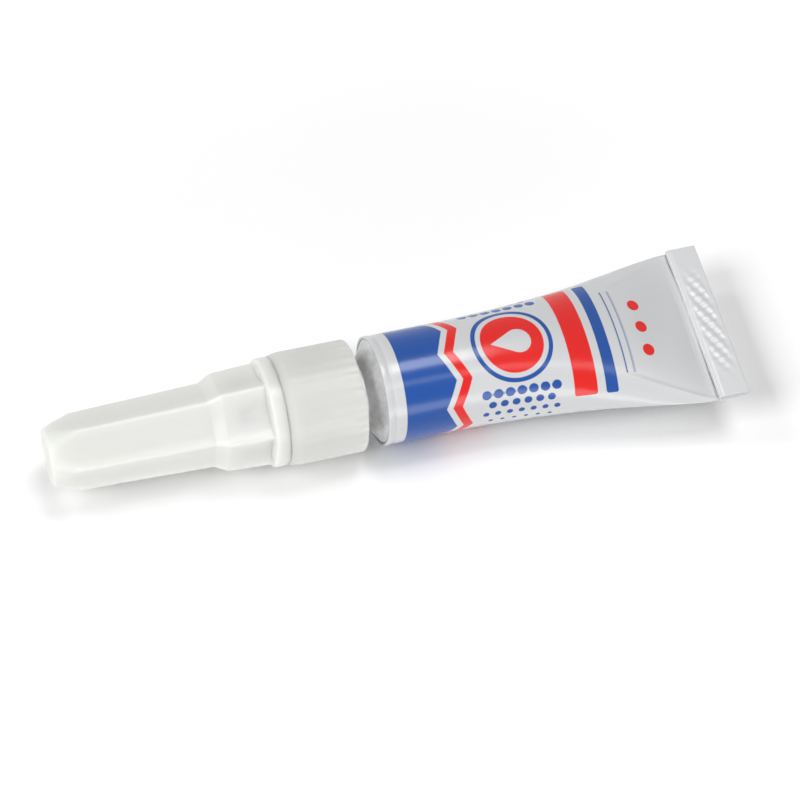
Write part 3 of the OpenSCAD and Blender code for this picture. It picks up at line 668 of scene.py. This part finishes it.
def rolled_foil():
    """Rolled aluminium foil pressed on the neck: bright, with soft wrinkles a millimetre or so apart."""
    material, tree, output, coords = new_material("rolled_aluminium_foil")
    crumple = add(tree, "ShaderNodeTexNoise", {"Vector": coords, "Scale": per_metre(1.1), "Detail": 4.0})
    bump = add(tree, "ShaderNodeBump", {
        "Height": crumple.outputs["Fac"], "Strength": 0.5, "Distance": 0.0002,
    })
    shader = add(tree, "ShaderNodeBsdfPrincipled", {
        "Base Color": linear("#D9DADB"), "Metallic": 1.0, "Roughness": 0.25,
        "Normal": bump.outputs["Normal"],
    })
    tree.links.new(shader.outputs["BSDF"], output.inputs["Surface"])
    return material


def dried_latex():
    """Latex sprayed on and dried: an ivory film, matt and slightly cloudy."""
    material, tree, output, coords = new_material("dried_latex_film")
    cloud = add(tree, "ShaderNodeTexNoise", {"Vector": coords, "Scale": per_metre(1.5), "Detail": 3.0})
    tone = add(tree, "ShaderNodeMix", {
        "Factor": cloud.outputs["Fac"], "A": linear("#CDBE96"), "B": linear("#DCD0AE"),
    }, data_type="RGBA")
    shader = add(tree, "ShaderNodeBsdfPrincipled", {
        "Base Color": tone.outputs["Result"], "Roughness": 0.6, "IOR": 1.52,
    })
    tree.links.new(shader.outputs["BSDF"], output.inputs["Surface"])
    return material


def cyanoacrylate_gel():
    """Thickened cyanoacrylate: a clear, slightly cloudy gel with a wet surface."""
    material, tree, output, coords = new_material("cyanoacrylate_gel")
    cloud = add(tree, "ShaderNodeTexNoise", {"Vector": coords, "Scale": per_metre(5), "Detail": 2.0})
    tone = add(tree, "ShaderNodeMix", {
        "Factor": cloud.outputs["Fac"], "A": linear("#E8E9E2"), "B": linear("#F2F3EE"),
    }, data_type="RGBA")
    shader = add(tree, "ShaderNodeBsdfPrincipled", {
        "Base Color": tone.outputs["Result"], "Roughness": 0.08, "IOR": 1.45, "Transmission Weight": 0.7,
    })
    tree.links.new(shader.outputs["BSDF"], output.inputs["Surface"])
    return material


def dress_nodes():
    """Gives the solids that keep their own shape the finish of the real pieces."""
    for node, make in (("cap_pin", drawn_steel), ("neck_seal", rolled_foil), ("tail_sealant", dried_latex)):
        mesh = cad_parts[node].data
        mesh.materials.clear()
        mesh.materials.append(make())


# Floor, light and camera

# Metres and watts. Each lamp has a name, a place, a width and height, and a power
FLOOR_HALF, FLOOR_DROP, FLOOR_NEAR, FLOOR_FAR = 3.0, 0.00003, 0.05, 0.16
WORLD_LEVEL = 0.1
SOFTBOXES = (
    ("left_softbox", (-0.95, -0.1, 0.9), (0.5, 0.5), 8.9),
    ("edge_softbox", (-0.75, 0.5, 0.85), (0.25, 0.18), 2.0),
    ("long_softbox", (0.7, -0.4, 0.95), (1.7, 0.2), 2.9),
    ("back_softbox", (0.2, 0.26, 1.12), (0.45, 0.4), 4.8),
    ("front_card", (0.0, -1.1, 0.2), (1.6, 0.36), 6.0),
)
AIM = Vector((0.00021, -0.00167, 0.00648))
DISTANCE, AZIMUTH, ELEVATION, ROLL = 0.3, np.radians(-31.46), np.radians(62.74), np.radians(17.0)
LENS_MM, SENSOR_MM, NEAREST = 110.755, 36.0, 0.01


def background_rays(tree):
    """1 for rays that show the background, straight, mirrored or through glass, and 0 for rays of light."""
    rays = add(tree, "ShaderNodeLightPath").outputs
    straight = add(tree, "ShaderNodeMath", {
        0: rays["Is Camera Ray"], 1: rays["Is Glossy Ray"],
    }, operation="MAXIMUM")
    shown = add(tree, "ShaderNodeMath", {
        0: straight.outputs[0], 1: rays["Is Transmission Ray"],
    }, operation="MAXIMUM")
    return shown.outputs[0]


def make_floor():
    """Wide sheet of white paper: it keeps the shadow near the part and shows as plain white away from it."""
    corners = np.array([[-1, -1, 0], [1, -1, 0], [1, 1, 0], [-1, 1, 0]]) * FLOOR_HALF
    corners[:, 2] = -FLOOR_DROP
    mesh = bpy.data.meshes.new("floor")
    mesh.from_pydata(corners.tolist(), [], [[0, 1, 2, 3]])
    floor = bpy.data.objects.new("floor", mesh)
    bpy.context.scene.collection.objects.link(floor)
    material, tree, output, coords = new_material("studio_paper")
    paper = add(tree, "ShaderNodeBsdfDiffuse", {"Color": linear("#FFFFFF")})
    white = add(tree, "ShaderNodeEmission", {"Strength": 1.0})
    away = add(tree, "ShaderNodeVectorMath", {0: coords}, operation="LENGTH")
    share = add(tree, "ShaderNodeMapRange", {
        "Value": away.outputs["Value"], "From Min": FLOOR_NEAR, "From Max": FLOOR_FAR,
    })
    shown = add(tree, "ShaderNodeMath", {
        0: background_rays(tree), 1: share.outputs["Result"],
    }, operation="MULTIPLY")
    mixed = add(tree, "ShaderNodeMixShader", {
        "Fac": shown.outputs[0], 1: paper.outputs["BSDF"], 2: white.outputs["Emission"],
    })
    tree.links.new(mixed.outputs["Shader"], output.inputs["Surface"])
    mesh.materials.append(material)


def make_world():
    """Even white surroundings that light the part at a plain level and show as white."""
    world = bpy.data.worlds.new("studio")
    bpy.context.scene.world = world
    world.use_nodes = True
    tree = world.node_tree
    tree.nodes.clear()
    level = add(tree, "ShaderNodeMapRange", {
        "Value": background_rays(tree), "To Min": WORLD_LEVEL, "To Max": 1.0,
    })
    sky = add(tree, "ShaderNodeBackground", {
        "Color": linear("#FFFFFF"), "Strength": level.outputs["Result"],
    })
    output = add(tree, "ShaderNodeOutputWorld")
    tree.links.new(sky.outputs["Background"], output.inputs["Surface"])


def make_softbox(name, location, size, watts):
    """Rectangular lamp that faces the part, its long side as near to the tube's axis as that allows."""
    back = Vector(location).normalized()
    level = (Vector((1, 0, 0)) - back.x * back).normalized()
    turn = Matrix((level, back.cross(level), back)).transposed()
    lamp = bpy.data.lights.new(name, "AREA")
    lamp.shape = "RECTANGLE"
    lamp.size, lamp.size_y = size
    lamp.energy = watts
    softbox = bpy.data.objects.new(name, lamp)
    softbox.matrix_world = Matrix.Translation(location) @ turn.to_4x4()
    bpy.context.scene.collection.objects.link(softbox)


def make_camera():
    """Camera turned by azimuth and elevation round the point it aims at, then rolled about its own axis."""
    back = Vector((
        np.sin(AZIMUTH) * np.cos(ELEVATION), -np.cos(AZIMUTH) * np.cos(ELEVATION), np.sin(ELEVATION),
    ))
    level = Vector((np.cos(AZIMUTH), np.sin(AZIMUTH), 0))
    right = np.cos(ROLL) * level + np.sin(ROLL) * back.cross(level)
    turn = Matrix((right, back.cross(right), back)).transposed()
    lens = bpy.data.cameras.new("camera")
    lens.sensor_fit = "HORIZONTAL"
    lens.sensor_width = SENSOR_MM
    lens.lens = LENS_MM
    lens.clip_start = NEAREST
    camera = bpy.data.objects.new("camera", lens)
    camera.matrix_world = Matrix.Translation(AIM + DISTANCE * back) @ turn.to_4x4()
    bpy.context.scene.collection.objects.link(camera)
    bpy.context.scene.camera = camera


make_camera()
make_tube()
make_nozzle()
make_cap()
make_gel()
dress_nodes()
make_floor()
make_world()
for softbox in SOFTBOXES:
    make_softbox(*softbox)
bpy.context.scene.view_settings.view_transform = "Standard"
